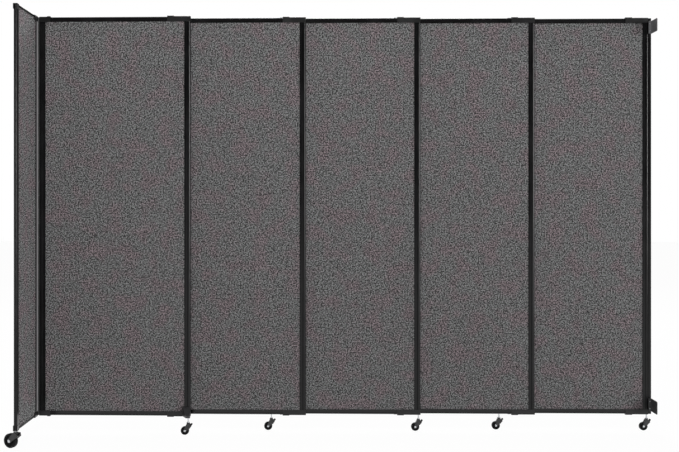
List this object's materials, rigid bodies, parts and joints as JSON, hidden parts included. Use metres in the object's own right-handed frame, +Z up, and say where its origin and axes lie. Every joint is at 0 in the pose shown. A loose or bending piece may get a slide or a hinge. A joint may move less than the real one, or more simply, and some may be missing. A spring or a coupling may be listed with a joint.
{
  "type": "sliding room divider",
  "caption": "Telescoping room divider: framed fabric boards slide one behind the other on casters, with wall brackets at one end and a hinged end panel at the other.",
  "frame": {"origin": "on the floor, under the middle of the divider's bounding box, with the boards drawn out", "axes": "+X along the boards towards the wall end, +Y towards the back, away from the side that the end panel opens to, +Z up"},
  "size_m": [3.4586, 0.5848, 2.286],
  "materials": {
    "frame_black": "glossy black anodised",
    "fabric": "woven speckled charcoal cloth",
    "guide_plastic": "moulded, fine grain",
    "hinge_black": "satin black",
    "hinge_satin": "satin natural leaf, knuckles painted black",
    "bracket_grey": "satin dark grey",
    "zinc": "bright zinc plate",
    "caster_grey": "satin dark grey",
    "wheel_black": "smooth matt",
    "pedal_black": "moulded, fine grain"
  },
  "bodies": {
    "panel_1": {"panel_1_posts": "frame_black", "panel_1_rails": "frame_black", "panel_1_fabric_board": "fabric", "panel_1_guides": "guide_plastic", "panel_1_caster_foot": "guide_plastic", "panel_1_caster_stem": "zinc", "hinge_fixed_leaf": "hinge_black", "hinge_pin": "zinc"},
    "panel_2": {"panel_2_posts": "frame_black", "panel_2_rails": "frame_black", "panel_2_fabric_board": "fabric", "panel_2_guides": "guide_plastic"},
    "panel_3": {"panel_3_posts": "frame_black", "panel_3_rails": "frame_black", "panel_3_fabric_board": "fabric", "panel_3_guides": "guide_plastic", "panel_3_caster_stems": "zinc"},
    "panel_4": {"panel_4_posts": "frame_black", "panel_4_rails": "frame_black", "panel_4_fabric_board": "fabric", "panel_4_guides": "guide_plastic"},
    "panel_5": {"panel_5_posts": "frame_black", "panel_5_rails": "frame_black", "panel_5_fabric_board": "fabric", "panel_5_guides": "guide_plastic", "panel_5_caster_stems": "zinc", "wall_strip": "frame_black", "wall_bracket_upper": "bracket_grey", "wall_bracket_lower": "bracket_grey"},
    "end_panel": {"end_panel_posts": "frame_black", "end_panel_rails": "frame_black", "end_panel_fabric_board": "fabric", "end_panel_sleeves": "guide_plastic", "end_caster_stem": "zinc", "hinge_swing_leaf": "hinge_satin"},
    "panel_1_caster_swivel": {"panel_1_caster_fork": "caster_grey", "panel_1_caster_axle": "zinc"},
    "panel_1_caster_wheel": {"panel_1_caster_wheel": "wheel_black"},
    "panel_1_caster_pedal": {"panel_1_caster_pedal": "pedal_black"},
    "panel_3_left_caster_swivel": {"panel_3_left_caster_fork": "caster_grey", "panel_3_left_caster_axle": "zinc"},
    "panel_3_left_caster_wheel": {"panel_3_left_caster_wheel": "wheel_black"},
    "panel_3_left_caster_pedal": {"panel_3_left_caster_pedal": "pedal_black"},
    "panel_3_right_caster_swivel": {"panel_3_right_caster_fork": "caster_grey", "panel_3_right_caster_axle": "zinc"},
    "panel_3_right_caster_wheel": {"panel_3_right_caster_wheel": "wheel_black"},
    "panel_3_right_caster_pedal": {"panel_3_right_caster_pedal": "pedal_black"},
    "panel_5_left_caster_swivel": {"panel_5_left_caster_fork": "caster_grey", "panel_5_left_caster_axle": "zinc"},
    "panel_5_left_caster_wheel": {"panel_5_left_caster_wheel": "wheel_black"},
    "panel_5_left_caster_pedal": {"panel_5_left_caster_pedal": "pedal_black"},
    "panel_5_right_caster_swivel": {"panel_5_right_caster_fork": "caster_grey", "panel_5_right_caster_axle": "zinc"},
    "panel_5_right_caster_wheel": {"panel_5_right_caster_wheel": "wheel_black"},
    "panel_5_right_caster_pedal": {"panel_5_right_caster_pedal": "pedal_black"},
    "end_caster_swivel": {"end_caster_fork": "caster_grey", "end_caster_axle": "zinc"},
    "end_caster_wheel": {"end_caster_wheel": "wheel_black"},
    "end_caster_pedal": {"end_caster_pedal": "pedal_black"}
  },
  "joints": [
    {"name": "panel_4_slide", "type": "slide", "parent": "panel_5", "child": "panel_4", "axis": [1, 0, 0], "range_m": [0, 0.59]},
    {"name": "panel_3_slide", "type": "slide", "parent": "panel_4", "child": "panel_3", "axis": [1, 0, 0], "range_m": [0, 0.59]},
    {"name": "panel_2_slide", "type": "slide", "parent": "panel_3", "child": "panel_2", "axis": [1, 0, 0], "range_m": [0, 0.59]},
    {"name": "panel_1_slide", "type": "slide", "parent": "panel_2", "child": "panel_1", "axis": [1, 0, 0], "range_m": [0, 0.59]},
    {"name": "end_panel_hinge", "type": "hinge", "parent": "panel_1", "child": "end_panel", "pos_m": [-1.6517, 0.13438, 1.186], "axis": [0, 0, 1], "range_deg": [-90, 90]},
    {"name": "panel_1_caster_swivel", "type": "hinge", "parent": "panel_1", "child": "panel_1_caster_swivel", "pos_m": [-0.8197, 0.08788, 0.066], "axis": [0, 0, 1], "continuous": true},
    {"name": "panel_1_caster_roll", "type": "hinge", "parent": "panel_1_caster_swivel", "child": "panel_1_caster_wheel", "pos_m": [-0.8377, 0.08788, 0.0225], "axis": [0, 1, 0], "continuous": true},
    {"name": "panel_1_caster_brake", "type": "hinge", "parent": "panel_1_caster_swivel", "child": "panel_1_caster_pedal", "pos_m": [-0.8077, 0.08788, 0.048], "axis": [0, 1, 0], "range_deg": [0, 25]},
    {"name": "panel_3_left_caster_swivel", "type": "hinge", "parent": "panel_3", "child": "panel_3_left_caster_swivel", "pos_m": [-0.3732, 0.22738, 0.066], "axis": [0, 0, 1], "continuous": true},
    {"name": "panel_3_left_caster_roll", "type": "hinge", "parent": "panel_3_left_caster_swivel", "child": "panel_3_left_caster_wheel", "pos_m": [-0.3912, 0.22738, 0.0225], "axis": [0, 1, 0], "continuous": true},
    {"name": "panel_3_left_caster_brake", "type": "hinge", "parent": "panel_3_left_caster_swivel", "child": "panel_3_left_caster_pedal", "pos_m": [-0.3612, 0.22738, 0.048], "axis": [0, 1, 0], "range_deg": [0, 25]},
    {"name": "panel_3_right_caster_swivel", "type": "hinge", "parent": "panel_3", "child": "panel_3_right_caster_swivel", "pos_m": [0.4398, 0.22738, 0.066], "axis": [0, 0, 1], "continuous": true},
    {"name": "panel_3_right_caster_roll", "type": "hinge", "parent": "panel_3_right_caster_swivel", "child": "panel_3_right_caster_wheel", "pos_m": [0.4218, 0.22738, 0.0225], "axis": [0, 1, 0], "continuous": true},
    {"name": "panel_3_right_caster_brake", "type": "hinge", "parent": "panel_3_right_caster_swivel", "child": "panel_3_right_caster_pedal", "pos_m": [0.4518, 0.22738, 0.048], "axis": [0, 1, 0], "range_deg": [0, 25]},
    {"name": "panel_5_left_caster_swivel", "type": "hinge", "parent": "panel_5", "child": "panel_5_left_caster_swivel", "pos_m": [0.8908, 0.27738, 0.066], "axis": [0, 0, 1], "continuous": true},
    {"name": "panel_5_left_caster_roll", "type": "hinge", "parent": "panel_5_left_caster_swivel", "child": "panel_5_left_caster_wheel", "pos_m": [0.8728, 0.27738, 0.0225], "axis": [0, 1, 0], "continuous": true},
    {"name": "panel_5_left_caster_brake", "type": "hinge", "parent": "panel_5_left_caster_swivel", "child": "panel_5_left_caster_pedal", "pos_m": [0.9028, 0.27738, 0.048], "axis": [0, 1, 0], "range_deg": [0, 25]},
    {"name": "panel_5_right_caster_swivel", "type": "hinge", "parent": "panel_5", "child": "panel_5_right_caster_swivel", "pos_m": [1.7038, 0.27738, 0.066], "axis": [0, 0, 1], "continuous": true},
    {"name": "panel_5_right_caster_roll", "type": "hinge", "parent": "panel_5_right_caster_swivel", "child": "panel_5_right_caster_wheel", "pos_m": [1.6858, 0.27738, 0.0225], "axis": [0, 1, 0], "continuous": true},
    {"name": "panel_5_right_caster_brake", "type": "hinge", "parent": "panel_5_right_caster_swivel", "child": "panel_5_right_caster_pedal", "pos_m": [1.7158, 0.27738, 0.048], "axis": [0, 1, 0], "range_deg": [0, 25]},
    {"name": "end_caster_swivel", "type": "hinge", "parent": "end_panel", "child": "end_caster_swivel", "pos_m": [-1.6647, -0.26912, 0.085], "axis": [0, 0, 1], "continuous": true},
    {"name": "end_caster_roll", "type": "hinge", "parent": "end_caster_swivel", "child": "end_caster_wheel", "pos_m": [-1.69251, -0.25788, 0.0375], "axis": [0.3746, 0.9272, 0], "continuous": true},
    {"name": "end_caster_brake", "type": "hinge", "parent": "end_caster_swivel", "child": "end_caster_pedal", "pos_m": [-1.64893, -0.27549, 0.066], "axis": [0.3746, 0.9272, 0], "range_deg": [0, 25]}
  ]
}
